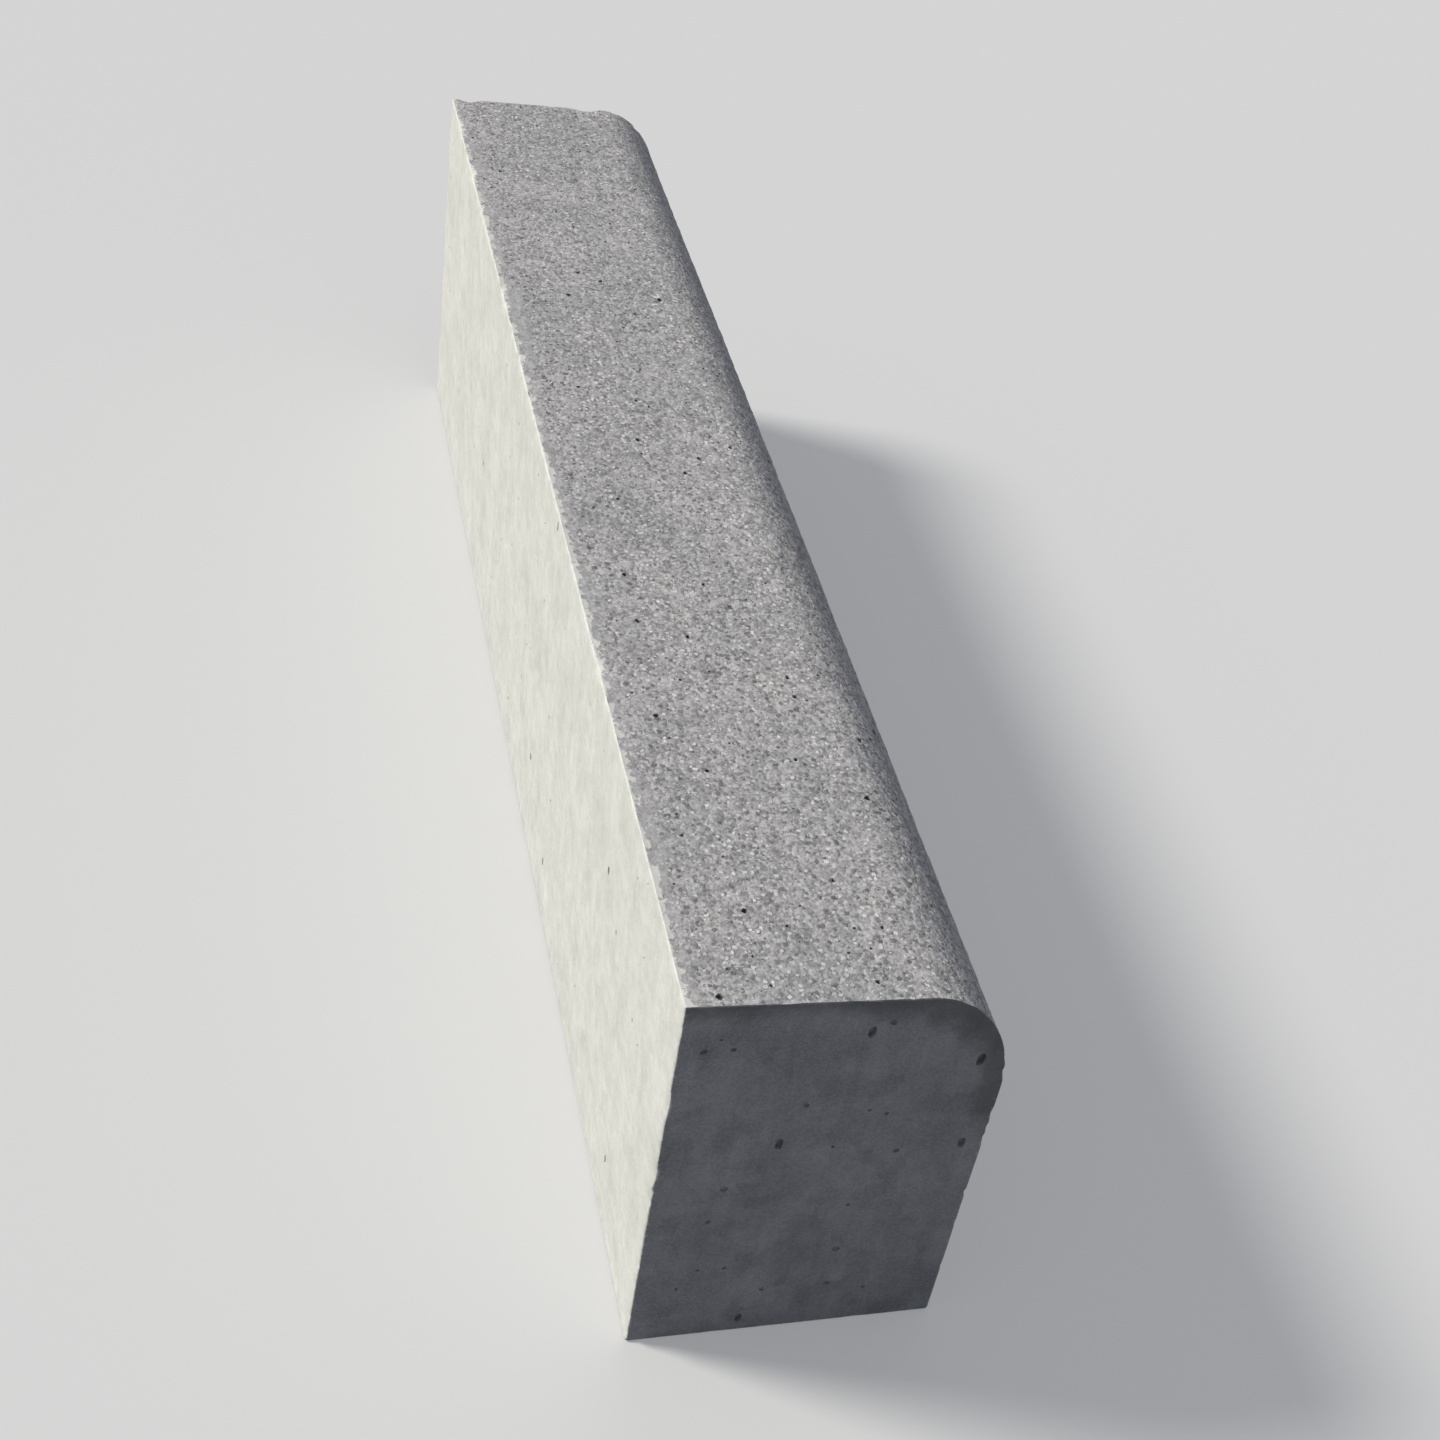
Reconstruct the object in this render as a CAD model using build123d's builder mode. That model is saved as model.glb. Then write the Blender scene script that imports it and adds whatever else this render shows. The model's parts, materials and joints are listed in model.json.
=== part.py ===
from build123d import *
from math import atan, cos, degrees, radians, sin, tan
import os

# A precast concrete kerb stone, cast as one solid block. It stands on its bed.
# The top falls gently from the back edge to a broad rounded nose above the road face.
# Origin: middle of the bed. +X runs along the stone, -Y is the road side, +Z is up.

# Driving dimensions, in millimetres and degrees
length = 1000.0
width = 180.0
height = 280.0  # at the back edge, where the stone is highest
top_slope = 2.7  # the fall of the top towards the road
nose_reach = 55.0  # how far back from the road face the rounding begins
nose_drop = 75.0  # how far below its own crown the rounding ends
arris_radius = 2.0  # the small rounding that the mould leaves on every sharp edge

# The two long faces, across the stone
road_y = -width / 2
back_y = width / 2

# The nose is a quarter of an ellipse. It leaves the sloping top and the upright
# road face without a crease, so it starts where its own slope is that of the top.
fall = tan(radians(top_slope))
nose_start = atan(fall * nose_reach / nose_drop)
nose_centre_y = road_y + nose_reach
nose_start_y = nose_centre_y - nose_reach * sin(nose_start)
nose_start_z = height - fall * (back_y - nose_start_y)
nose_centre_z = nose_start_z - nose_drop * cos(nose_start)

with BuildPart() as kerb_stone:
    # The section, seen from the +X end
    with BuildSketch(Plane.YZ):
        with BuildLine():
            nose = EllipticalCenterArc(
                center=(nose_centre_y, nose_centre_z),
                x_radius=nose_reach,
                y_radius=nose_drop,
                start_angle=90 + degrees(nose_start),
                arc_size=90 - degrees(nose_start),
            )
            Polyline(nose @ 1, (road_y, 0), (back_y, 0), (back_y, height), nose @ 0)
        make_face()
    extrude(amount=length / 2, both=True)

    # Arrises: round both ends, the two edges of the bed and the back top edge
    end_edges = kerb_stone.faces().filter_by(Axis.X).edges()
    long_edges = kerb_stone.edges().filter_by(Axis.X)
    bed_edges = long_edges.group_by(Axis.Z)[0]
    back_top_edge = long_edges.group_by(Axis.Z)[-1]
    fillet(end_edges + bed_edges + back_top_edge, radius=arris_radius)

kerb_stone.part.label = "kerb_stone"

os.makedirs("parts", exist_ok=True)
export_step(kerb_stone.part, "parts/kerb_stone.step")
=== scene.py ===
# %% [markdown]
# # A precast concrete kerb stone
#
# The real stone is one casting, a metre long. The steel mould leaves its ends and its
# back smooth. The top, the rounded nose and the road face were blasted afterwards, which
# strips the skin of cement and lays the sand and the small chippings bare.
#
# The CAD model already has the true size. This lesson loads it as a fixed frame, models
# a finer stone of the same size by hand, and gives it the finishes of the real one.

# %% Load the CAD frame
import json
import random
from math import atan, cos, degrees, hypot, pi, radians, sin, tan

import bmesh
import bpy
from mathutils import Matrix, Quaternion, Vector

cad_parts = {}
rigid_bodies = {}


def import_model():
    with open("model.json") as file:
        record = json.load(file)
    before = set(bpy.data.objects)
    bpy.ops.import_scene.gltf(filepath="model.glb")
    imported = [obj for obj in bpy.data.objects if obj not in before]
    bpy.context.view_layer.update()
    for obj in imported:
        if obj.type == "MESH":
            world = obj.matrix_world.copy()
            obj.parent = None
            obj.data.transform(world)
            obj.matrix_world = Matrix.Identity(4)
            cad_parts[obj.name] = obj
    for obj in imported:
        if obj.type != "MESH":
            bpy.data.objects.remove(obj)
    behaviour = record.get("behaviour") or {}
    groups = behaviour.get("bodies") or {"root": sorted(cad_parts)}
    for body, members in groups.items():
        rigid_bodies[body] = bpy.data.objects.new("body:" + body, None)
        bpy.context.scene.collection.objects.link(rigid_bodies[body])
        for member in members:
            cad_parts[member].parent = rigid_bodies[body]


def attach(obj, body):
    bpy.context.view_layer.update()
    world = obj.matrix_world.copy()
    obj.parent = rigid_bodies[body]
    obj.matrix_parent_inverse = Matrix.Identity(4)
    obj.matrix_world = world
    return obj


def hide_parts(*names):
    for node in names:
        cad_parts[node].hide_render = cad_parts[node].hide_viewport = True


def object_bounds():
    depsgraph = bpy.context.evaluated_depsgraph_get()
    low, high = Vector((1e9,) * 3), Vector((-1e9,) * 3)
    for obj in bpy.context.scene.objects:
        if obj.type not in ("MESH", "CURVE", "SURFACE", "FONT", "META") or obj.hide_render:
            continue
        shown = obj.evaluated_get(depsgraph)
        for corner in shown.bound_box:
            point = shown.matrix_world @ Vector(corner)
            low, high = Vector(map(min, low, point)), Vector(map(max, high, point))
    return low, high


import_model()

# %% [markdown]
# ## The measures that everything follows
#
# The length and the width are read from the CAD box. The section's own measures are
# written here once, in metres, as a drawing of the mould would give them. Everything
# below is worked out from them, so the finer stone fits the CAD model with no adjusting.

cad_low, cad_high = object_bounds()
stone_length = cad_high.x - cad_low.x
stone_width = cad_high.y - cad_low.y
stone_height = 0.280  # at the back edge, where the stone is highest
top_fall = tan(radians(2.7))  # the slope of the top towards the road
nose_reach = 0.055  # how far back from the road face the rounding begins
nose_drop = 0.075  # how far below its own crown the rounding ends
arris_radius = 0.002  # the small rounding on every sharp edge

half_length = stone_length / 2
back_y = stone_width / 2
road_y = -stone_width / 2

print("CAD box in metres:", tuple(cad_low), tuple(cad_high))

# %% Work out where the rounded nose lies
# The nose is a quarter of an ellipse that leaves the top without a crease.
nose_start = atan(top_fall * nose_reach / nose_drop)
nose_centre_y = road_y + nose_reach
nose_start_y = nose_centre_y - nose_reach * sin(nose_start)


def top_height(y):
    """The height of the sloping top at a place across the stone."""
    return stone_height - top_fall * (back_y - y)


nose_centre_z = top_height(nose_start_y) - nose_drop * cos(nose_start)
print("The nose runs from y", round(nose_start_y, 4), "down to z", round(nose_centre_z, 4))

# %% [markdown]
# ## The camera
#
# The photograph looks down along the stone from above its near end, and the stone lies
# to the right of the lens. So its top, its near end and its back face show, and the nose
# is on the right. The place, heading, pitch and roll of that camera were worked out from
# the corners in the picture. Here the camera stays in its place and is turned the
# shortest way to the stone, so the stone leans in the picture as it does in the
# photograph. A longer lens then lets it fill the frame.

# %% Place the camera
sensor_width = 36.0  # millimetres
image_side = 1440  # pixels
focal_length_pixels = 2080
camera_place = Vector((-1.136, 0.306, 1.018))
camera_aim = Vector((-0.133, -0.024, 0.140))
photo_heading = radians(1.85)  # from +X towards +Y
photo_pitch = radians(31.5)  # below the horizon
photo_roll = radians(-2.0)

photo_forward = Vector((
    cos(photo_pitch) * cos(photo_heading),
    cos(photo_pitch) * sin(photo_heading),
    -sin(photo_pitch),
))
as_in_the_photo = photo_forward.to_track_quat("-Z", "Y") @ Quaternion((0, 0, 1), photo_roll)
shortest_turn = photo_forward.rotation_difference(camera_aim - camera_place)

bpy.ops.object.camera_add(location=camera_place)
camera = bpy.context.object
camera.name = "camera"
camera.data.sensor_width = sensor_width
camera.data.lens = sensor_width * focal_length_pixels / image_side
camera.rotation_mode = "QUATERNION"
camera.rotation_quaternion = shortest_turn @ as_in_the_photo
bpy.context.scene.camera = camera
print("Turned the camera by", round(degrees(shortest_turn.angle), 1), "degrees")

# %% [markdown]
# ## The light and the floor
#
# The sun stood beyond the far end, on the side of the back face. It lit the top and the
# back, and left the near end and the road face in shade. A wide, soft sun lamp in that
# place keeps the same light and shade. The even light of the world fills the shadows,
# and is a little bluer than the sun, as a clear sky is. Together they add up to a
# neutral light of about one on the top, so a colour renders about as it is written.
#
# A large white floor would throw a lot of light back at the shaded end. So the floor is
# pale only where the camera looks at it, and darker for the light that it gives back.
# It also shines a little of its own tone at the camera, which keeps the shadow light
# enough for the rounded nose to stand out against it.

# %% Write colours as they look on the screen
def screen_colour(red, green, blue):
    """Turn a colour of 0 to 255, as a screen shows it, into the linear one of a shader."""
    channels = []
    for value in (red, green, blue):
        share = value / 255
        if share <= 0.04045:
            channels.append(share / 12.92)
        else:
            channels.append(((share + 0.055) / 1.055) ** 2.4)
    return (*channels, 1.0)


# %% A helper for adding shader nodes
def add_node(tree, kind, inputs=None, **settings):
    """Add a node. An input given as another node's socket is linked, any other is set."""
    made = tree.nodes.new(kind)
    for name, value in settings.items():
        setattr(made, name, value)
    for name, value in (inputs or {}).items():
        socket = made.inputs[name]
        if isinstance(value, bpy.types.NodeSocket):
            tree.links.new(value, socket)
        else:
            socket.default_value = value
    return made


# %% Short names for the nodes used most
def calculate(tree, operation, first, second=0.0):
    """A Math node's result."""
    return add_node(
        tree, "ShaderNodeMath", {0: first, 1: second}, operation=operation
    ).outputs[0]


def fade(tree, value, start, end, low=0.0, high=1.0):
    """A smooth change from low to high while the value goes from start to end."""
    limits = {"Value": value, "From Min": start, "From Max": end, "To Min": low, "To Max": high}
    return add_node(
        tree, "ShaderNodeMapRange", limits, interpolation_type="SMOOTHSTEP"
    ).outputs["Result"]


def blend_colours(tree, share, first, second, how="MIX"):
    """A Mix node's colour: first where the share is 0, second where it is 1."""
    return add_node(
        tree, "ShaderNodeMix", {0: share, 6: first, 7: second}, data_type="RGBA", blend_type=how
    ).outputs[2]


# %% A helper that tells a look at the background from the light that it gives
def looked_at(tree):
    """1 where the eye, a reflection or glass shows a surface, and 0 for the light it gives."""
    ray = add_node(tree, "ShaderNodeLightPath").outputs
    mirrored = calculate(tree, "MAXIMUM", ray["Is Glossy Ray"], ray["Is Transmission Ray"])
    return calculate(tree, "MAXIMUM", ray["Is Camera Ray"], mirrored)


# %% Light the stone
sun_azimuth = radians(66)  # from +X towards +Y
sun_elevation = radians(39)
sun_softness = radians(14)
sun_strength = 3.55
sun_colour = (1.0, 0.969, 0.902)
fill_strength = 0.32
fill_colour = (0.90, 0.97, 1.12, 1.0)
backdrop_strength = 0.66
backdrop_colour = (1.0, 1.0, 1.0, 1.0)

sun_direction = Vector((
    cos(sun_elevation) * cos(sun_azimuth),
    cos(sun_elevation) * sin(sun_azimuth),
    sin(sun_elevation),
))
bpy.ops.object.light_add(type="SUN", location=sun_direction * 3)
sun = bpy.context.object
sun.name = "soft_sun"
sun.data.energy = sun_strength
sun.data.color = sun_colour
sun.data.angle = sun_softness
sun.rotation_mode = "QUATERNION"
sun.rotation_quaternion = sun_direction.to_track_quat("Z", "Y")

world = bpy.data.worlds.new("studio")
bpy.context.scene.world = world
world.use_nodes = True
sky = world.node_tree
sky.nodes.clear()
seen = looked_at(sky)
background = add_node(sky, "ShaderNodeBackground", {
    "Color": blend_colours(sky, seen, fill_colour, backdrop_colour),
    "Strength": fade(sky, seen, 0.0, 1.0, low=fill_strength, high=backdrop_strength),
})
add_node(sky, "ShaderNodeOutputWorld", {"Surface": background.outputs["Background"]})
bpy.context.scene.view_settings.view_transform = "Standard"
print("Sun from", tuple(round(value, 2) for value in sun_direction))

# %% Lay the floor
floor_side = 30.0
floor_seen = 0.44  # the share of the light that the camera sees coming back
floor_glow = 0.22  # what the camera sees in the deepest shadow
floor_bounce = 0.24  # the share of the light that reaches the stone from below

bpy.ops.mesh.primitive_plane_add(size=floor_side, location=(0, 0, 0))
floor = bpy.context.object
floor.name = "studio_floor"
floor_paint = bpy.data.materials.new("pale_floor")
floor.data.materials.append(floor_paint)
floor_paint.use_nodes = True
tree = floor_paint.node_tree
tree.nodes.clear()
seen = looked_at(tree)
matte_share = fade(tree, seen, 0.0, 1.0, low=floor_bounce, high=floor_seen)
glow_share = fade(tree, seen, 0.0, 1.0, low=0.0, high=floor_glow)
matte = add_node(tree, "ShaderNodeBsdfDiffuse", {"Color": matte_share})
glow = add_node(tree, "ShaderNodeEmission", {"Strength": glow_share})
both = add_node(
    tree, "ShaderNodeAddShader", {0: matte.outputs["BSDF"], 1: glow.outputs["Emission"]}
)
add_node(tree, "ShaderNodeOutputMaterial", {"Surface": both.outputs["Shader"]})

# %% [markdown]
# ## Block out the stone
#
# The mould is a plain box with one sloping wall and one rounded corner, and the stone is
# shaped in the same order: a cube at full size, its top road edge lowered for the slope,
# and that edge then bevelled into the nose.
#
# The nose is taller than it is deep, and a bevel is round. So the stone is squeezed in
# height first, bevelled, and stretched back, which turns the round bevel into the
# ellipse of the mould. A table of points would do as well, but says less.

# %% Two helpers for working on chosen parts
def deselect_everything():
    """Leave nothing selected, because an operator acts on all that is."""
    bpy.ops.object.select_all(action="DESELECT")


def pick(kind, wanted):
    """In edit mode, select the vertices, edges or faces for which wanted() is true."""
    bpy.ops.mesh.select_mode(type=kind)
    bpy.ops.mesh.select_all(action="DESELECT")
    mesh = bpy.context.edit_object.data
    shape = bmesh.from_edit_mesh(mesh)
    parts = {"VERT": shape.verts, "EDGE": shape.edges, "FACE": shape.faces}[kind]
    found = 0
    for part in parts:
        if wanted(part):
            part.select = True
            found += 1
    shape.select_flush_mode()
    bmesh.update_edit_mesh(mesh)
    return found


# %% Add the block and slope its top
deselect_everything()
bpy.ops.mesh.primitive_cube_add(
    size=1.0,
    location=(0, 0, stone_height / 2),
    scale=(stone_length, stone_width, stone_height),
)
stone = bpy.context.object
stone.name = "kerb_stone_cast"
bpy.ops.object.transform_apply(location=True, rotation=True, scale=True)

bpy.ops.object.mode_set(mode="EDIT")
pick("VERT", lambda corner: corner.co.y < 0 and corner.co.z > stone_height / 2)
bpy.ops.transform.translate(value=(0, 0, -top_fall * stone_width))
print("Lowered the road edge of the top by", round(top_fall * stone_width * 1000, 1), "mm")

# %% Round the nose
nose_segments = 40
squeeze = nose_reach / nose_drop
# How far a round of this radius reaches along the two faces that it joins
squeezed_fall = atan(top_fall * squeeze)
nose_offset = nose_reach / tan((pi / 2 + squeezed_fall) / 2)


def squeeze_height(factor):
    """Scale the whole stone in height, about the level of its bed."""
    bpy.ops.mesh.select_all(action="SELECT")
    bpy.ops.transform.resize(value=(1, 1, factor), center_override=(0, 0, 0))


def is_top_road_edge(edge):
    """True for the one edge that the nose replaces."""
    first, second = (end.co for end in edge.verts)
    runs_along = abs(first.x - second.x) > half_length
    in_front = first.y < 0 and second.y < 0
    above = first.z > stone_height / 4 and second.z > stone_height / 4
    return runs_along and in_front and above


squeeze_height(squeeze)
found = pick("EDGE", is_top_road_edge)
bpy.ops.mesh.bevel(
    offset=nose_offset, offset_type="OFFSET", segments=nose_segments,
    profile=0.5, affect="EDGES", clamp_overlap=False,
)
squeeze_height(1 / squeeze)
print("Bevelled", found, "edge by", round(nose_offset * 1000, 2), "mm")

# %% [markdown]
# ## Give each face its finish before it is cut up
#
# The finishes follow the faces of the mould. It is easiest to give them out now, while
# there are few faces, because every face that is cut or bevelled later inherits one.

# %% Name the finishes and give them to the faces
finish_names = ("blasted_facing", "smooth_back", "smooth_end")
BLASTED, SMOOTH_BACK, SMOOTH_END = range(len(finish_names))
for name in finish_names:
    stone.data.materials.append(bpy.data.materials.new(name))


def finish_of(normal):
    """The finish of a face, from the way that it looks."""
    if abs(normal.x) > 0.5 or normal.z < -0.5:
        return SMOOTH_END
    if normal.y > 0.5:
        return SMOOTH_BACK
    return BLASTED


shape = bmesh.from_edit_mesh(stone.data)
for face in shape.faces:
    face.material_index = finish_of(face.normal)
bmesh.update_edit_mesh(stone.data)

# %% [markdown]
# ## The arrises
#
# A cast edge is never a knife edge. Each one gets a rounding of 2 mm in three segments:
# both ends all round, the two long edges of the bed and the back edge of the top. The
# nose meets the top and the road face without an edge, so nothing is done there.

# %% Round the arrises
arris_segments = 3
touching = 1e-4  # places nearer to each other than this are the same


def is_arris(edge):
    """True for the sharp edges: those round the ends and three of the long ones."""
    first, second = (end.co for end in edge.verts)
    if abs(first.x - second.x) < touching:
        return True
    on_bed = first.z < touching
    on_back_top = first.z > stone_height - touching
    return on_bed or on_back_top


found = pick("EDGE", is_arris)
bpy.ops.mesh.bevel(
    offset=arris_radius, offset_type="OFFSET", segments=arris_segments, profile=0.5,
    affect="EDGES", clamp_overlap=False,
)
print("Rounded", found, "edges")

# %% [markdown]
# ## Cut the faces into small cells
#
# The roughness that blasting leaves is a real shape here, and a shape needs vertices.
# Planes slice the flat faces into rows first, while the mesh is light. The ends are
# sliced both ways, because they carry holes too. A plane has to cut the arris beside a
# face together with the face, or the two would no longer meet vertex to vertex.
#
# Then the edges that run along the stone are subdivided, which cuts the whole of it into
# columns. The operator makes no more than 100 cuts at a time, so it is used twice.

# %% Slice the rows
top_row = 0.0025
side_row = 0.0040
end_column = 0.0040
slight_lean = 0.06  # the share of a normal in one direction that still counts as none
straight_down = -0.99
least_left = 0.45  # the share of a row that has to be left under the sloping top


def slice_faces(place, normal, wanted):
    """Cut the faces that are wanted by one plane."""
    pick("FACE", wanted)
    bpy.ops.mesh.bisect(plane_co=place, plane_no=normal)


def is_upright(face):
    """True for the back, the road face, the ends and the arrises between them."""
    return abs(face.normal.z) < slight_lean


def is_upright_beside_nose(face):
    """The same, without the road face and its arrises, whose place the nose takes."""
    return is_upright(face) and face.normal.y > -slight_lean


def is_back(face):
    """True for the back and the arrises between it and the ends."""
    return is_upright(face) and face.normal.y > slight_lean


def is_top_or_end(face):
    """True for the top, the ends and the arrises above and below the ends."""
    return abs(face.normal.y) < slight_lean and face.normal.z > straight_down


def is_end_below_nose(face):
    """The same, without the top."""
    return is_top_or_end(face) and face.normal.z < slight_lean


# Closer under the sloping top, a level cut would leave slivers on the ends
end_rows_stop = top_height(nose_start_y) - arris_radius - side_row * least_left
height = arris_radius + side_row
while height < stone_height - arris_radius - side_row / 2:
    if height < nose_centre_z - side_row / 2:
        cut_here = is_upright
    elif height < end_rows_stop:
        cut_here = is_upright_beside_nose
    else:
        cut_here = is_back
    slice_faces((0, 0, height), (0, 0, 1), cut_here)
    height += side_row

across = nose_start_y + top_row
while across < back_y - arris_radius - top_row / 2:
    slice_faces((0, across, 0), (0, 1, 0), is_top_or_end)
    across += top_row

across = nose_start_y
while across > road_y + arris_radius + end_column / 2:
    slice_faces((0, across, 0), (0, 1, 0), is_end_below_nose)
    across -= end_column
print("Faces after the rows:", len(bmesh.from_edit_mesh(stone.data).faces))

# %% Subdivide the columns
broad_columns = 14
columns_in_each = 25
almost = 0.9  # the end arrises make the edges a little shorter than the stone


def subdivide_lengthwise(shortest, pieces):
    """Cut every edge that runs along the stone, and is long enough, into equal pieces."""
    found = pick(
        "EDGE", lambda edge: abs(edge.verts[0].co.x - edge.verts[1].co.x) > shortest
    )
    bpy.ops.mesh.subdivide(number_cuts=pieces - 1)
    return found


found = subdivide_lengthwise(stone_length * almost, broad_columns)
subdivide_lengthwise(stone_length / broad_columns * almost, columns_in_each)
bpy.ops.object.mode_set(mode="OBJECT")
print("Cut", found, "long edges and made", len(stone.data.polygons), "faces")

# %% [markdown]
# ## How far each point lies from a sharp edge
#
# Blasting stops short of the edges, and edges are what gets chipped. So both the relief
# and the finishes have to know how far they are from an arris. The distance is worked
# out once, while the stone still has its exact shape, and is kept on the mesh as an
# attribute that a shader can read. A second attribute keeps how deep a point of an end
# lies below the top and the nose, because the ends are darker there.

# %% Measure the distances and keep them on the mesh
growth_under_nose = 0.3


def depth_below_top(y, z):
    """How far a point of the section lies inside the top and the nose."""
    below_top = top_height(y) - z
    if y > nose_centre_y:
        return below_top
    if z < nose_centre_z:
        # Under the nose the depth counts from the road face, and grows on the way down
        return min(below_top, y - road_y + (nose_centre_z - z) * growth_under_nose)
    ratio = hypot((y - nose_centre_y) / nose_reach, (z - nose_centre_z) / nose_drop)
    return min(below_top, (1 - ratio) * nose_reach)


def distance_to_arris(point):
    """How far a point of the surface lies from the nearest sharp edge."""
    from_back = back_y - point.y
    from_road = point.y - road_y
    inside_section = min(point.z, from_back, from_road, depth_below_top(point.y, point.z))
    round_the_ends = max(half_length - abs(point.x), inside_section)
    back_top = max(from_back, top_height(point.y) - point.z)
    bed_back = max(from_back, point.z)
    bed_road = max(from_road, point.z)
    return min(round_the_ends, back_top, bed_back, bed_road)


def keep_on_mesh(name, values):
    """Store one number for each vertex as an attribute."""
    attribute = stone.data.attributes.new(name, "FLOAT", "POINT")
    attribute.data.foreach_set("value", values)
    print("Kept", name, "from", round(min(values), 4), "to", round(max(values), 4))


points = [vertex.co.copy() for vertex in stone.data.vertices]
arris_distance = [distance_to_arris(point) for point in points]
keep_on_mesh("arris_distance", arris_distance)
keep_on_mesh("depth_below_top", [depth_below_top(point.y, point.z) for point in points])
keep_on_mesh("air_hole", [0.0] * len(points))

# %% [markdown]
# ## The relief
#
# Five movements make the surface, each a Displace modifier with its own procedural
# texture, and each pushes inwards only, so the stone never outgrows the CAD model:
# a slow wave that every cast face has, the coarse and the fine grit that blasting lays
# bare, the fine crumbling of the arrises, and the few larger chips that handling knocks
# off them. Vertex groups say where each one acts. The bed is in none of them, so the
# stone stands flat.

# %% Say where each relief acts
bed_margin = 0.006  # the relief fades out this near to the bed
chips_reach = (0.0015, 0.0050)  # chips fade out between these distances from an arris
grit_begins = (0.0005, 0.0035)  # and grit fades in between these


def ramp_up(value, start, end):
    """0 below start, 1 above end, and a smooth rise between them."""
    share = min(1.0, max(0.0, (value - start) / (end - start)))
    return share * share * (3 - 2 * share)


blasted_points = set()
for face in stone.data.polygons:
    if face.material_index == BLASTED:
        blasted_points.update(face.vertices)

whole = stone.vertex_groups.new(name="all_but_the_bed")
blasted = stone.vertex_groups.new(name="blasted_faces")
edges = stone.vertex_groups.new(name="arrises")
for vertex in stone.data.vertices:
    index = [vertex.index]
    distance = arris_distance[vertex.index]
    off_the_bed = ramp_up(vertex.co.z, 0.0, bed_margin)
    whole.add(index, off_the_bed, "REPLACE")
    edges.add(index, off_the_bed * (1 - ramp_up(distance, *chips_reach)), "REPLACE")
    if vertex.index in blasted_points:
        blasted.add(index, off_the_bed * ramp_up(distance, *grit_begins), "REPLACE")
print("Points on the blasted faces:", len(blasted_points))


# %% Push the relief in
def push_in(name, group, depth, profile, kind="CLOUDS", **texture_settings):
    """Displace a vertex group's points inwards by a procedural texture, and apply it.

    The profile has two pairs of a texture value and a height. A height of 1 stays on the
    CAD surface, and one of 0 goes in by the full depth.
    """
    texture = bpy.data.textures.new(name, type=kind)
    for setting, value in texture_settings.items():
        setattr(texture, setting, value)
    texture.use_color_ramp = True
    for element, (value, height) in zip(texture.color_ramp.elements, profile):
        element.position = value
        element.color = (height, height, height, 1.0)
    relief = stone.modifiers.new(name, "DISPLACE")
    relief.texture = texture
    relief.texture_coords = "LOCAL"
    relief.vertex_group = group
    relief.mid_level = 1.0
    relief.strength = depth
    bpy.ops.object.modifier_apply(modifier=name)
    print("Applied", name, "to a depth of", round(depth * 1000, 2), "mm")


deselect_everything()
stone.select_set(True)
bpy.context.view_layer.objects.active = stone
push_in(
    "slow_wave", "all_but_the_bed", depth=0.0008, profile=((0.25, 0), (0.75, 1)),
    noise_scale=0.22, noise_depth=1,
)
push_in(
    "coarse_grit", "blasted_faces", depth=0.0006, profile=((0.25, 0), (0.75, 1)),
    noise_scale=0.0075, noise_depth=2,
)
push_in(
    "fine_grit", "blasted_faces", depth=0.0005, profile=((0.0, 1), (0.7, 0)),
    kind="VORONOI", noise_scale=0.0045,
)
push_in(
    "crumbled_arris", "arrises", depth=0.0008, profile=((0.26, 0), (0.44, 1)),
    noise_scale=0.0090, noise_depth=2,
)
push_in(
    "chipped_arris", "arrises", depth=0.0020, profile=((0.24, 0), (0.36, 1)),
    noise_scale=0.0170, noise_depth=1,
)

# The groups have done their work, and the holes below would spoil their weights
stone.vertex_groups.clear()
print("Vertex groups left:", len(stone.vertex_groups))

# %% [markdown]
# ## Air holes
#
# Air bubbles against the mould leave small round holes, and where two of them met, a
# longer pit. They are modelled as shapes: a vertex is chosen by a seeded draw, the
# cells round it become the hole, their outline is drawn into a rough circle, and the
# inset operator sinks them. A pit is made in the same way from two vertices. Their
# floors are marked, so that the finishes can paint shade and some dirt into them.

# %% Choose the holes
hole_seed = 41
clear_of_arris = 0.007
deepest_relief = 0.003  # that far from an arris, no face has gone in further than this
hole_draw = random.Random(hole_seed)
taken = []  # the places of the holes chosen so far


def choose_holes(count, wanted, radius_range, gap):
    """Choose vertices for holes, each at least a gap from the others, with a radius."""
    candidates = [
        vertex for vertex in stone.data.vertices
        if arris_distance[vertex.index] > clear_of_arris and wanted(vertex)
    ]
    smallest, largest = radius_range
    chosen = []
    for vertex in hole_draw.sample(candidates, len(candidates)):
        if len(chosen) == count:
            break
        if all((vertex.co - other).length > gap for other in taken):
            taken.append(vertex.co.copy())
            radius = smallest + (largest - smallest) * hole_draw.random() ** 2
            chosen.append(([vertex.index], radius))
    return chosen


def lengthen(holes, way):
    """Turn holes into pits, by adding to each the vertex next to it in one direction."""
    next_to = {index: set() for indices, _ in holes for index in indices}
    for first, second in stone.data.edge_keys:
        if first in next_to:
            next_to[first].add(second)
        if second in next_to:
            next_to[second].add(first)
    pits = []
    for indices, radius in holes:
        start = stone.data.vertices[indices[0]].co
        beyond = max(
            sorted(next_to[indices[0]]),
            key=lambda index: (stone.data.vertices[index].co - start).normalized().dot(way),
        )
        taken.append(stone.data.vertices[beyond].co.copy())
        pits.append((indices + [beyond], radius))
    return pits


def is_blasted(vertex):
    """True on the top, the nose and the road face."""
    return vertex.index in blasted_points


def is_on_end(vertex):
    """True on the two ends."""
    return abs(vertex.co.x) > half_length - deepest_relief


def is_on_back(vertex):
    """True on the back face."""
    return vertex.co.y > back_y - deepest_relief and not is_on_end(vertex)


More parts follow.
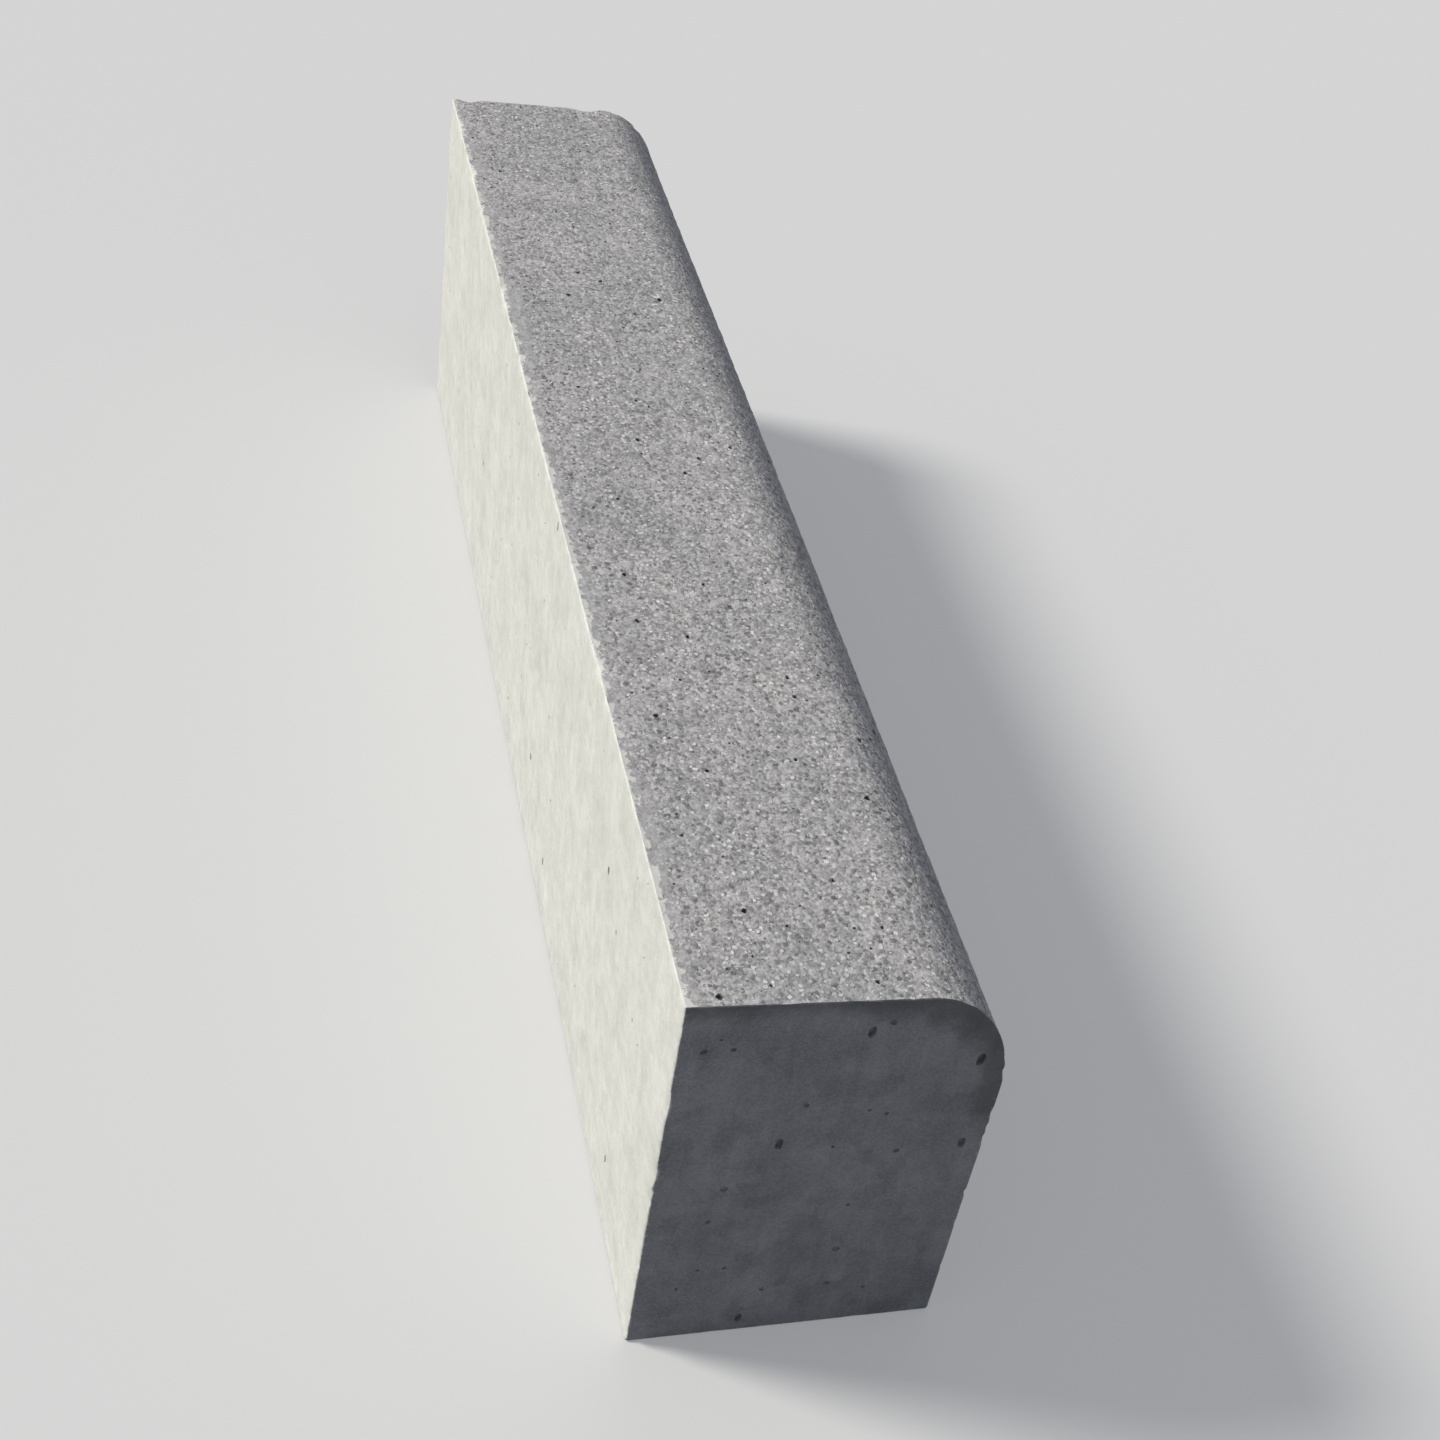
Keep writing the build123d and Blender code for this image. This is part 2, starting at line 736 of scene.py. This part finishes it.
up = Vector((0, 0, 1))
end_pits = choose_holes(7, is_on_end, radius_range=(0.0021, 0.0027), gap=0.016)
end_pits = lengthen(end_pits, up)
back_pits = choose_holes(5, is_on_back, radius_range=(0.0016, 0.0020), gap=0.030)
back_pits = lengthen(back_pits, up)
facing_holes = choose_holes(200, is_blasted, radius_range=(0.0009, 0.0022), gap=0.012)
end_holes = choose_holes(38, is_on_end, radius_range=(0.0011, 0.0028), gap=0.010)
back_holes = choose_holes(46, is_on_back, radius_range=(0.0010, 0.0022), gap=0.012)


# %% Sink the holes
floor_inset = 0.0003  # how much narrower a hole is at its floor, on each side
narrowest, widest = 0.80, 1.20  # an uneven rim's shares of the radius


def sink(holes, depth):
    """Draw the outlines of the holes round, a little uneven, and sink them."""
    bpy.ops.mesh.select_mode(type="FACE")
    bpy.ops.mesh.select_all(action="DESELECT")
    shape = bmesh.from_edit_mesh(stone.data)
    shape.verts.ensure_lookup_table()
    for indices, radius in holes:
        centres = [shape.verts[index] for index in indices]
        cells = {face for centre in centres for face in centre.link_faces}
        rim = {corner for face in cells for corner in face.verts} - set(centres)
        for corner in sorted(rim, key=lambda corner: corner.index):
            nearest = min(centres, key=lambda centre: (centre.co - corner.co).length)
            outward = (corner.co - nearest.co).normalized()
            corner.co = nearest.co + outward * radius * hole_draw.uniform(narrowest, widest)
        for face in cells:
            face.select = True
    shape.select_flush_mode()
    bmesh.update_edit_mesh(stone.data)
    bpy.ops.mesh.inset(thickness=floor_inset, depth=-depth, use_boundary=False)

    # The inset leaves the floors of the holes selected
    shape = bmesh.from_edit_mesh(stone.data)
    inside_hole = shape.verts.layers.float["air_hole"]
    for vertex in shape.verts:
        # Marking the floors lets the finishes paint shade and some dirt into the holes
        if vertex.select:
            vertex[inside_hole] = 1.0
    bmesh.update_edit_mesh(stone.data)
    print("Sank", len(holes), "holes by", round(depth * 1000, 1), "mm")


bpy.ops.object.mode_set(mode="EDIT")
sink(facing_holes, depth=0.0018)
sink(end_holes + back_holes, depth=0.0011)
sink(end_pits + back_pits, depth=0.0024)

# %% [markdown]
# ## Clean up the chips
#
# Every point of an arris was pushed in along its own normal, and these all point at the
# centre of the rounding. So where a chip is deeper than the arris is round, its points
# cross, and the faces between them are folded. Merging the points could leave faces that
# hang on one edge. Smoothing them opens the folds, and leaves the mesh closed. With the
# shape done, the stone is shaded smooth, apart from its sharp creases.

# %% Smooth the folds away
near_arris = 0.004
sharpest_bend = radians(100)


def is_fold(edge):
    """True for an edge of a chip that is bent more than a chip can be."""
    bend = edge.calc_face_angle(0.0)
    return bend > sharpest_bend and distance_to_arris(edge.verts[0].co) < near_arris


folds = pick("EDGE", is_fold)
bpy.ops.mesh.select_more()
bpy.ops.mesh.vertices_smooth(factor=0.5, repeat=4)
print("Folded edges before:", folds, "and after:", pick("EDGE", is_fold))

# %% Shade the stone
sharpest_shaded_smooth = radians(42)
bpy.ops.object.mode_set(mode="OBJECT")
bpy.ops.object.shade_smooth_by_angle(angle=sharpest_shaded_smooth)
stone.data.calc_loop_triangles()
print("Triangles in the stone:", len(stone.data.loop_triangles))

# %% [markdown]
# ## Materials
#
# All the finishes are the same concrete, so they share their effects: sand grains, air
# pores, soft patches of tone and the worn look of an arris. Each effect is a node group
# with named inputs, built once, and each finish sets its own values.

# %% Helpers for ramps, for node groups and for what is kept on the mesh
def colour_steps(tree, value, steps):
    """A Color Ramp's colour, from (place, colour) pairs."""
    ramp = add_node(tree, "ShaderNodeValToRGB", {"Fac": value})
    elements = ramp.color_ramp.elements
    while len(elements) < len(steps):
        elements.new(0.5)
    for element, (place, colour) in zip(elements, steps):
        element.position = place
        element.color = colour
    return ramp.outputs["Color"]


def start_group(name, inputs, outputs):
    """A new node group with its sockets, and its input and output nodes."""
    group = bpy.data.node_groups.new(name, "ShaderNodeTree")
    for label, kind, value in inputs:
        socket = group.interface.new_socket(label, in_out="INPUT", socket_type=kind)
        if value is not None:
            socket.default_value = value
    for label, kind in outputs:
        group.interface.new_socket(label, in_out="OUTPUT", socket_type=kind)
    entry = add_node(group, "NodeGroupInput")
    result = add_node(group, "NodeGroupOutput")
    return group, entry.outputs, result.inputs


def use_group(tree, group, inputs):
    """Place a node group in a material, with its own values."""
    return add_node(tree, "ShaderNodeGroup", inputs, node_tree=group).outputs


def read_attribute(tree, name):
    """The value that an attribute of the mesh has at each point."""
    return add_node(
        tree, "ShaderNodeAttribute", attribute_type="GEOMETRY", attribute_name=name
    ).outputs["Fac"]


# %% A helper that shakes coordinates
def shake(tree, place, scale, reach):
    """Move coordinates about by a noise, so that what is drawn in them gets ragged."""
    noise = add_node(tree, "ShaderNodeTexNoise", {"Vector": place, "Scale": scale, "Detail": 1.0})
    centred = add_node(
        tree, "ShaderNodeVectorMath",
        {0: noise.outputs["Color"], 1: (0.5, 0.5, 0.5)}, operation="SUBTRACT",
    )
    shift = add_node(
        tree, "ShaderNodeVectorMath", {0: centred.outputs[0], "Scale": reach}, operation="SCALE"
    )
    return add_node(
        tree, "ShaderNodeVectorMath", {0: place, 1: shift.outputs[0]}, operation="ADD"
    ).outputs[0]


# %% [markdown]
# ### Sand grains
#
# A Voronoi texture packs space with cells, as grains pack in concrete. Each cell has a
# colour of its own, and one channel of it is the tone of the grain. The texture is a
# solid one, so the grains carry on round the nose as they do in the real stone. The
# coordinates are shaken a little first, so that the grains aren't neat polygons.

# %% Build the grain group
grains, given, wanted = start_group(
    "sand_grains",
    [("Vector", "NodeSocketVector", None), ("Grain Size", "NodeSocketFloat", 0.0024)],
    [("Tone", "NodeSocketFloat"), ("Height", "NodeSocketFloat")],
)
scale = calculate(grains, "DIVIDE", 1.0, given["Grain Size"])
shaken = shake(grains, given["Vector"], scale, given["Grain Size"])
cells = add_node(
    grains, "ShaderNodeTexVoronoi", {"Vector": shaken, "Scale": scale, "Randomness": 1.0}
)
channels = add_node(grains, "ShaderNodeSeparateColor", {"Color": cells.outputs["Color"]})
grains.links.new(channels.outputs["Red"], wanted["Tone"])
grains.links.new(fade(grains, cells.outputs["Distance"], 0.75, 0.1), wanted["Height"])
print("Built the group", grains.name)

# %% [markdown]
# ### Scattered spots
#
# Dark chippings, white grains and air pores are all single spots in a plainer ground.
# Here each Voronoi cell holds at most one spot, at its centre. Random numbers of the
# cell say whether it is there, how large it is and which tone it has.

# %% Build the spot group
spots, given, wanted = start_group(
    "scattered_spots",
    [
        ("Vector", "NodeSocketVector", None),
        ("Spacing", "NodeSocketFloat", 0.009),
        ("Radius", "NodeSocketFloat", 0.0012),
        ("Share", "NodeSocketFloat", 0.4),
    ],
    [("Mask", "NodeSocketFloat"), ("Tone", "NodeSocketFloat")],
)
bends_in_a_radius = 0.8
rim_shift = 1.4  # radii
smallest_spot = 0.45  # of the radius given
largest_spot = 1.25
solid_part = 0.75  # of a spot's own radius, before its border fades

bend_scale = calculate(spots, "DIVIDE", bends_in_a_radius, given["Radius"])
rim_reach = calculate(spots, "MULTIPLY", rim_shift, given["Radius"])
shaken = shake(spots, given["Vector"], bend_scale, rim_reach)
scale = calculate(spots, "DIVIDE", 1.0, given["Spacing"])
cells = add_node(spots, "ShaderNodeTexVoronoi", {"Vector": shaken, "Scale": scale})
channels = add_node(spots, "ShaderNodeSeparateColor", {"Color": cells.outputs["Color"]})
distance = calculate(spots, "MULTIPLY", cells.outputs["Distance"], given["Spacing"])
size_share = fade(spots, channels.outputs["Green"], 0.0, 1.0, smallest_spot, largest_spot)
radius = calculate(spots, "MULTIPLY", given["Radius"], size_share)
radii_away = calculate(spots, "DIVIDE", distance, radius)
spot = fade(spots, radii_away, 1.0, solid_part)
is_there = calculate(spots, "LESS_THAN", channels.outputs["Red"], given["Share"])
spots.links.new(calculate(spots, "MULTIPLY", spot, is_there), wanted["Mask"])
spots.links.new(channels.outputs["Blue"], wanted["Tone"])
print("Built the group", spots.name)

# %% [markdown]
# ### Patches of tone
#
# Concrete dries unevenly and never has one tone. Two noises, one broad and one finer,
# move a finish between a lighter and a darker tone of its own.

# %% Build the patch group
patches, given, wanted = start_group(
    "tone_patches",
    [
        ("Vector", "NodeSocketVector", None),
        ("Patch Size", "NodeSocketFloat", 0.08),
        ("Light Tone", "NodeSocketColor", (0.5, 0.5, 0.5, 1.0)),
        ("Dark Tone", "NodeSocketColor", (0.4, 0.4, 0.4, 1.0)),
    ],
    [("Color", "NodeSocketColor"), ("Value", "NodeSocketFloat")],
)
scale = calculate(patches, "DIVIDE", 1.0, given["Patch Size"])
broad = add_node(
    patches, "ShaderNodeTexNoise",
    {"Vector": given["Vector"], "Scale": scale, "Detail": 4.0, "Roughness": 0.55},
)
value = fade(patches, broad.outputs["Fac"], 0.3, 0.7)
patches.links.new(value, wanted["Value"])
patches.links.new(
    blend_colours(patches, value, given["Dark Tone"], given["Light Tone"]), wanted["Color"]
)
print("Built the group", patches.name)

# %% [markdown]
# ### The worn arris
#
# This group reads the distance that was kept on the mesh, and shakes it with noise, so
# that its masks have a ragged border: a margin that the blasting left smooth, and the
# very edge, which is rubbed paler.

# %% Build the arris group
arris, given, wanted = start_group(
    "worn_arris",
    [("Vector", "NodeSocketVector", None), ("Margin", "NodeSocketFloat", 0.003)],
    [("Margin", "NodeSocketFloat"), ("Edge", "NodeSocketFloat")],
)
border_shift = 0.0022  # metres
margin_border = 0.0012
edge_width = 0.0016

ragged = add_node(
    arris, "ShaderNodeTexNoise",
    {"Vector": given["Vector"], "Scale": 260.0, "Detail": 3.0, "Roughness": 0.6},
)
shift = fade(arris, ragged.outputs["Fac"], 0.25, 0.75, -border_shift, border_shift)
distance = calculate(arris, "ADD", read_attribute(arris, "arris_distance"), shift)
end_of_margin = calculate(arris, "ADD", given["Margin"], margin_border)
arris.links.new(fade(arris, distance, end_of_margin, given["Margin"]), wanted["Margin"])
arris.links.new(fade(arris, distance, edge_width, 0.0), wanted["Edge"])
print("Built the group", arris.name)


# %% A helper that starts a finish
def start_finish(name):
    """Clear a material and give it object coordinates and an output."""
    material = bpy.data.materials[name]
    material.use_nodes = True
    tree = material.node_tree
    tree.nodes.clear()
    place = add_node(tree, "ShaderNodeTexCoord").outputs["Object"]
    return tree, place


def end_finish(tree, colour, roughness, height):
    """Join a finish's colour, roughness and height in millimetres to its shader."""
    bump = add_node(
        tree, "ShaderNodeBump", {"Height": height, "Strength": 1.0, "Distance": 0.001}
    )
    shader = add_node(
        tree, "ShaderNodeBsdfPrincipled",
        {
            "Base Color": colour,
            "Roughness": roughness,
            "Normal": bump.outputs["Normal"],
            "Specular IOR Level": 0.35,
        },
    )
    add_node(tree, "ShaderNodeOutputMaterial", {"Surface": shader.outputs["BSDF"]})


# %% [markdown]
# ## The blasted facing
#
# Seen close, the facing is a ground of grey sand and cement with single grains in it:
# white quartz, dark chippings of 2 to 3 mm and, here and there, a black pore. From two
# metres it reads as a mid grey. So the ground is two sizes of sand laid over each other,
# each grain with a tone of its own, and the larger grains are scattered over it.
#
# The blasting was lighter along the back edge. The cement there still covers most of the
# grains in a band about 15 mm wide, and a thinner one lies along the other arrises. At
# the very edge the pale skin of the back reaches over in ragged teeth of a few mm.

# %% Mix the sand of the ground
coarse_grain = 0.0029
fine_grain = 0.0015
tree, place = start_finish("blasted_facing")
coarse = use_group(tree, grains, {"Vector": place, "Grain Size": coarse_grain})
fine = use_group(tree, grains, {"Vector": place, "Grain Size": fine_grain})
sand_steps = [
    (0.0, screen_colour(118, 117, 118)),
    (0.5, screen_colour(165, 163, 163)),
    (1.0, screen_colour(206, 204, 203)),
]
coarse_sand = colour_steps(tree, coarse["Tone"], sand_steps)
fine_sand = colour_steps(tree, fine["Tone"], sand_steps)
ground = blend_colours(tree, 0.5, coarse_sand, fine_sand)
tone = use_group(tree, patches, {
    "Vector": place, "Patch Size": 0.06,
    "Light Tone": screen_colour(255, 254, 254), "Dark Tone": screen_colour(239, 240, 241),
})
toned = blend_colours(tree, 1.0, ground, tone["Color"], "MULTIPLY")


# %% Scatter the grains and the pores over it
def scatter(tree, place, under, spacing, radius, share, strength, tones):
    """Lay single grains over a colour. Each one takes a tone between the two given."""
    grain = use_group(
        tree, spots, {"Vector": place, "Spacing": spacing, "Radius": radius, "Share": share}
    )
    grain_colour = colour_steps(tree, grain["Tone"], [(0.0, tones[0]), (1.0, tones[1])])
    cover = calculate(tree, "MULTIPLY", grain["Mask"], strength)
    return blend_colours(tree, cover, under, grain_colour), grain["Mask"]


with_chippings, chippings = scatter(
    tree, place, toned, spacing=0.0038, radius=0.00145, share=0.58, strength=0.75,
    tones=(screen_colour(80, 82, 87), screen_colour(130, 126, 123)),
)
with_quartz, quartz = scatter(
    tree, place, with_chippings, spacing=0.0033, radius=0.00125, share=0.60, strength=0.75,
    tones=(screen_colour(182, 184, 187), screen_colour(230, 227, 224)),
)
# The pores are painted near-black: painted shade in holes too small to model
with_pore_shade, small_pores = scatter(
    tree, place, with_quartz, spacing=0.0085, radius=0.00090, share=0.45, strength=0.90,
    tones=(screen_colour(30, 29, 29), screen_colour(52, 50, 50)),
)

# %% Keep the cement along the edges
back_band = 0.017  # metres from the back edge
most_cover = 0.62  # the share of the grains that the band hides at the edge
band_wander = 0.008
arris_margin = 0.0016
margin_cover = 0.32

across = add_node(tree, "ShaderNodeSeparateXYZ", {"Vector": place}).outputs["Y"]
from_back = calculate(tree, "SUBTRACT", back_y, across)
patchy = calculate(tree, "SUBTRACT", tone["Value"], 0.5)
wander = calculate(tree, "MULTIPLY", patchy, band_wander)
wandered = calculate(tree, "ADD", from_back, wander)
light_blasting = fade(tree, wandered, back_band, 0.0, 0.0, most_cover)
worn = use_group(tree, arris, {"Vector": place, "Margin": arris_margin})
skin = use_group(tree, patches, {
    "Vector": place, "Patch Size": 0.02,
    "Light Tone": screen_colour(181, 179, 179), "Dark Tone": screen_colour(164, 162, 163),
})
edge_skin = calculate(tree, "MULTIPLY", worn["Margin"], margin_cover)
part_covered = calculate(tree, "MAXIMUM", light_blasting, edge_skin)
part_skinned = blend_colours(tree, part_covered, with_pore_shade, skin["Color"])

# %% Let the skin of the back reach over the edge
longest_tooth = 0.0030
lip_width = 0.0030
lip_border = 0.0008
lip_cover = 0.85

teeth = add_node(
    tree, "ShaderNodeTexNoise",
    {"Vector": place, "Scale": 160.0, "Detail": 4.0, "Roughness": 0.65},
)
tooth_length = fade(tree, teeth.outputs["Fac"], 0.3, 0.7, -longest_tooth, longest_tooth)
toothed = calculate(tree, "ADD", from_back, tooth_length)
lip = fade(tree, toothed, lip_width + lip_border, lip_width, 0.0, lip_cover)
skinned = blend_colours(tree, lip, part_skinned, screen_colour(216, 215, 209))
covered = calculate(tree, "MAXIMUM", part_covered, lip)
print("The lip reaches over by up to", round((lip_width + longest_tooth) * 1000, 1), "mm")

# %% Paint shade and dirt into the air holes and finish
hole_shade_and_dirt_cover = 0.85
grain_relief = 0.25  # millimetres

# The floors of the modelled holes are painted dark: painted shade in the holes, with some dirt
hole_shade_and_dirt = calculate(tree, "MULTIPLY", read_attribute(tree, "air_hole"), hole_shade_and_dirt_cover)
facing_colour = blend_colours(tree, hole_shade_and_dirt, skinned, screen_colour(44, 43, 43))
sand_height = calculate(tree, "MULTIPLY", coarse["Height"], grain_relief)
large_grains = calculate(tree, "MAXIMUM", chippings, quartz)
grain_height = calculate(tree, "MULTIPLY", large_grains, grain_relief)
rough_height = calculate(tree, "ADD", sand_height, grain_height)
bare = calculate(tree, "SUBTRACT", 1.0, covered)
bare_height = calculate(tree, "MULTIPLY", rough_height, bare)
hole_height = calculate(tree, "MULTIPLY", small_pores, -1.0)
end_finish(
    tree, facing_colour,
    fade(tree, covered, 0.0, 1.0, 0.92, 0.8),
    calculate(tree, "ADD", bare_height, hole_height),
)
print("Made the blasted facing")

# %% [markdown]
# ## The faces left smooth by the mould
#
# The back is a pale, almost white skin of cement. The ends are a mid grey with more
# marks. Both are the same finish with different tones, so one function makes them: broad
# patches, faint upright streaks from the water that ran down the mould, soft stains, and
# pinholes and air holes darkened with painted shade and some dirt. The streaks are the
# patches again, read through coordinates that are squashed in height.
#
# The ends also have a darker, uneven band just under the top and the nose, about 15 mm
# high. The second attribute of the mesh says how far below that outline a point lies.
# The back has no such band.

# %% Make the smooth faces
streak_squash = 0.12  # of their height, which makes the streaks eight times as tall
stain_start = 0.42  # the value of the patches below which a stain shows
sand_cover = 0.10
band_full = 0.003  # the dark band fades between these depths below the top
band_foot = 0.021
wider_by = 0.004  # how much further down it reaches at the nose
small_wander = 0.003
broad_wander = 0.004
rubbed_cover = 0.7
smooth_hole_shade_and_dirt_cover = 0.20
skin_relief = 0.25  # millimetres, as the next two are
pinhole_depth = 0.7
sand_relief = 0.04


def make_smooth(
    name, light_tone, dark_tone, streak_tone, stain_and_pinhole_shade_tone, mark_share, edge_tone, band_share
):
    """A face the mould left smooth: patches, streaks, stains, and painted shade and dirt in
    pores.
    """
    tree, place = start_finish(name)
    tone = use_group(tree, patches, {
        "Vector": place, "Patch Size": 0.045,
        "Light Tone": light_tone, "Dark Tone": dark_tone,
    })
    small_tone = use_group(tree, patches, {
        "Vector": place, "Patch Size": 0.009,
        "Light Tone": screen_colour(255, 255, 255), "Dark Tone": screen_colour(243, 243, 244),
    })
    squashed = add_node(
        tree, "ShaderNodeVectorMath",
        {0: place, 1: (1.0, 1.0, streak_squash)}, operation="MULTIPLY",
    ).outputs[0]
    streaks = use_group(tree, patches, {
        "Vector": squashed, "Patch Size": 0.009,
        "Light Tone": screen_colour(255, 255, 255), "Dark Tone": streak_tone,
    })
    patched = blend_colours(tree, 1.0, tone["Color"], small_tone["Color"], "MULTIPLY")
    toned = blend_colours(tree, 1.0, patched, streaks["Color"], "MULTIPLY")
    stains = use_group(tree, patches, {"Vector": place, "Patch Size": 0.022})
    stained_share = fade(tree, stains["Value"], stain_start, 0.0, 0.0, mark_share)
    marked = blend_colours(tree, stained_share, toned, stain_and_pinhole_shade_tone)
    # The pinholes are painted in the stain tone: painted shade in them
    pitted, pinholes = scatter(
        tree, place, marked, spacing=0.011, radius=0.0009, share=0.35, strength=0.7,
        tones=(stain_and_pinhole_shade_tone, stain_and_pinhole_shade_tone),
    )
    sand = use_group(tree, grains, {"Vector": place, "Grain Size": 0.0011})
    sand_colour = colour_steps(tree, sand["Tone"], [
        (0.0, screen_colour(60, 60, 60)), (1.0, screen_colour(230, 230, 230)),
    ])
    sanded = blend_colours(tree, sand_cover, pitted, sand_colour)

    depth = read_attribute(tree, "depth_below_top")
    across = add_node(tree, "ShaderNodeSeparateXYZ", {"Vector": place}).outputs["Y"]
    wider_at_nose = fade(tree, across, 0.04, -0.05, 0.0, wider_by)
    wander = calculate(tree, "MULTIPLY", small_tone["Value"], -small_wander)
    slow_wander = calculate(tree, "MULTIPLY", tone["Value"], -broad_wander)
    both_wander = calculate(tree, "ADD", wander, slow_wander)
    reach = calculate(tree, "ADD", wider_at_nose, both_wander)
    band_depth = calculate(tree, "SUBTRACT", depth, reach)
    band = fade(tree, band_depth, band_foot, band_full, 0.0, band_share)
    banded = blend_colours(tree, band, sanded, screen_colour(84, 84, 86))

    worn = use_group(tree, arris, {"Vector": place, "Margin": 0.0008})
    off_the_top = fade(tree, depth, 0.002, 0.008)
    rubbed = calculate(tree, "MULTIPLY", worn["Edge"], off_the_top)
    rubbed_share = calculate(tree, "MULTIPLY", rubbed, rubbed_cover)
    edged = blend_colours(tree, rubbed_share, banded, edge_tone)
    # The floors of the modelled holes are painted darker: painted shade in the holes, with some
    # dirt
    in_hole = read_attribute(tree, "air_hole")
    hole_shade_and_dirt = calculate(tree, "MULTIPLY", in_hole, smooth_hole_shade_and_dirt_cover)
    colour = blend_colours(tree, hole_shade_and_dirt, edged, screen_colour(60, 60, 61))

    skin_height = calculate(tree, "MULTIPLY", tone["Value"], skin_relief)
    hole_height = calculate(tree, "MULTIPLY", pinholes, -pinhole_depth)
    sand_height = calculate(tree, "MULTIPLY", sand["Height"], sand_relief)
    pitted_height = calculate(tree, "ADD", skin_height, hole_height)
    height = calculate(tree, "ADD", pitted_height, sand_height)
    end_finish(tree, colour, fade(tree, tone["Value"], 0.0, 1.0, 0.85, 0.72), height)
    print("Made", name)


make_smooth(
    "smooth_back",
    light_tone=screen_colour(230, 231, 223), dark_tone=screen_colour(218, 219, 212),
    streak_tone=screen_colour(249, 249, 248), stain_and_pinhole_shade_tone=screen_colour(188, 187, 181),
    mark_share=0.25, edge_tone=screen_colour(232, 232, 226), band_share=0.0,
)
make_smooth(
    "smooth_end",
    light_tone=screen_colour(151, 152, 155), dark_tone=screen_colour(137, 138, 142),
    streak_tone=screen_colour(240, 240, 241), stain_and_pinhole_shade_tone=screen_colour(104, 105, 109),
    mark_share=0.40, edge_tone=screen_colour(182, 181, 180), band_share=0.7,
)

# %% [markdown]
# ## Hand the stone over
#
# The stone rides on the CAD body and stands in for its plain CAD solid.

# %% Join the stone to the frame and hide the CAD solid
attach(stone, "root")
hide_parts("kerb_stone")
